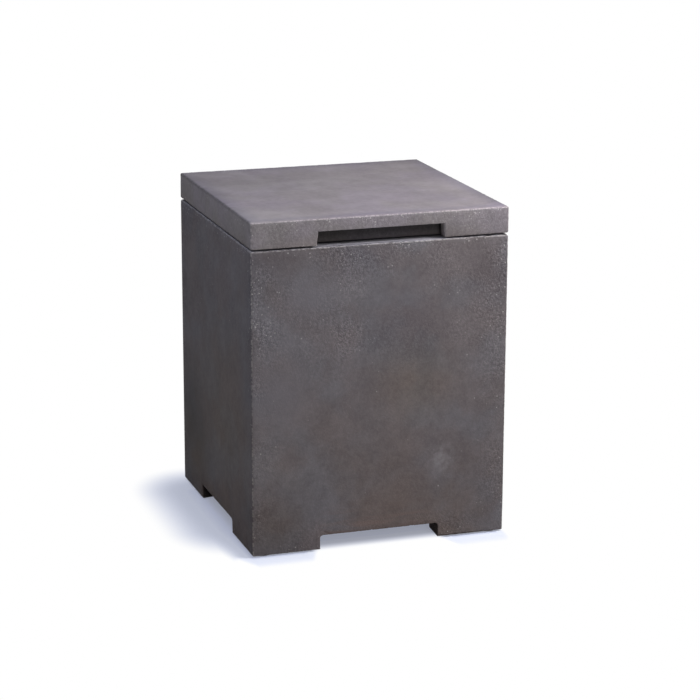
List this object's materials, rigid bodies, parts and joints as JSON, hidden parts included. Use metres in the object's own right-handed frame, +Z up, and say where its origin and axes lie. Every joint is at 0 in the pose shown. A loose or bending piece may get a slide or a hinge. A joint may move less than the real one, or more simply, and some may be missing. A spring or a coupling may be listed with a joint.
{
  "type": "propane tank cover table",
  "caption": "Square cast concrete cover for an upright gas cylinder, open below, with notches between its feet and a lift-off slab lid with a finger slot, used as a side table.",
  "frame": {"origin": "on the floor under the middle of the square plan, level with the undersides of the foot pads", "axes": "+Z up, -Y towards the front, which carries the finger slot of the lid, +X to the right seen from the front"},
  "size_m": [0.432, 0.432, 0.55],
  "materials": {
    "shell_concrete": "matte",
    "lid_concrete": "satin",
    "bumper_rubber": "matte",
    "pad_rubber": "matte"
  },
  "bodies": {
    "shell_body": {"body_shell": "shell_concrete", "lid_bumper_front_left": "bumper_rubber", "lid_bumper_front_right": "bumper_rubber", "lid_bumper_back_left": "bumper_rubber", "lid_bumper_back_right": "bumper_rubber", "foot_pad_front_left": "pad_rubber", "foot_pad_front_right": "pad_rubber", "foot_pad_back_left": "pad_rubber", "foot_pad_back_right": "pad_rubber"},
    "lid_body": {"lid": "lid_concrete"}
  },
  "joints": [
    {"name": "lid_lift", "type": "slide", "parent": "shell_body", "child": "lid_body", "axis": [0, 0, 1], "range_m": [0, 0.2]}
  ]
}
